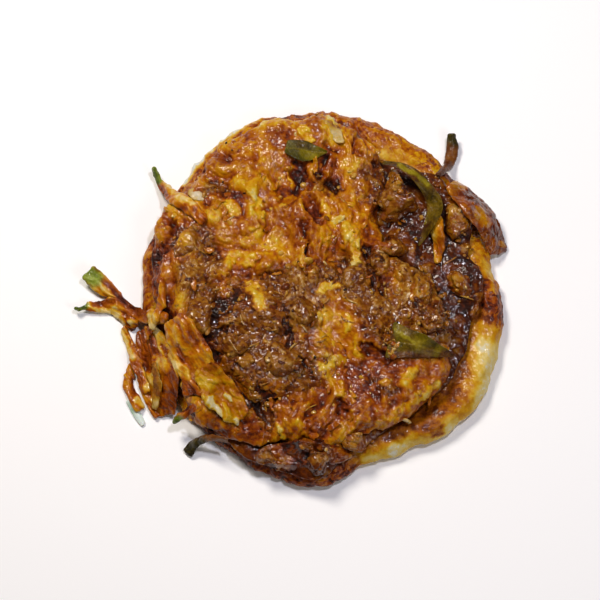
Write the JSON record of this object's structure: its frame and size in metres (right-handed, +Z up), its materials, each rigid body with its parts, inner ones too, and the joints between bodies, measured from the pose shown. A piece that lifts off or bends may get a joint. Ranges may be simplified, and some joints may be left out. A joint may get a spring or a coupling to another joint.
{
  "type": "filled layered flatbread with spiced beef roast",
  "caption": "Round layered flatbreads stacked flat with spiced beef roast between and on them, with curry leaves, onion slices and torn strips trailing at one side.",
  "frame": {"origin": "middle of the lower flatbread's flat underside", "axes": "+Z up, out of the surface it rests on; -Y towards the front, where the roast spills over the edge; +X to the right"},
  "size_m": [0.1962, 0.1779, 0.0302],
  "materials": {
    "pale_bread": "soft oiled flatbread, cream to yellow, stained with gravy",
    "soaked_bread": "flaky flatbread soaked with orange and brown masala, wet",
    "gravy": "thick dark roast gravy, oily and glossy",
    "masala": "minced spiced masala, grainy and wet",
    "beef": "fibrous cooked beef coated with gravy",
    "curry_leaf": "fried olive curry leaf with a waxy, oily sheen",
    "bread_shred": "thin torn bread strip, translucent with oil",
    "onion": "soft cooked onion, pale and translucent",
    "bare_dough": "pale bare dough, unstained"
  },
  "bodies": {
    "root": {"lower_parotta": "pale_bread", "beef_filling": "gravy", "upper_parotta": "soaked_bread", "masala_middle": "masala", "masala_right": "masala", "masala_front": "masala", "beef_far_right": "beef", "beef_right_small": "beef", "beef_right_square": "beef", "beef_right_rim": "beef", "beef_right_edge": "beef", "beef_near_leaf": "beef", "beef_middle": "beef", "beef_centre": "beef", "beef_centre_left": "beef", "beef_left": "beef", "beef_left_low": "beef", "beef_left_dark": "beef", "beef_front": "beef", "beef_front_left": "beef", "beef_front_middle": "beef", "onion_far": "onion", "onion_left": "onion", "torn_fold": "pale_bread", "dough_tip": "bare_dough", "shred_far_left": "bread_shred", "shred_spike": "bread_shred", "shred_wide_outer": "bread_shred", "shred_wide_inner": "bread_shred", "shred_fork_upper": "bread_shred", "shred_fork_lower": "bread_shred", "shred_left_edge": "bread_shred", "shred_pale_strip": "onion", "shred_cross": "bread_shred", "shred_horn": "bread_shred", "shred_right": "bread_shred", "leaf_far": "curry_leaf", "leaf_curled": "curry_leaf", "leaf_near": "curry_leaf", "stalk_far": "curry_leaf", "stalk_front": "curry_leaf", "scrap_right": "gravy"}
  },
  "joints": []
}
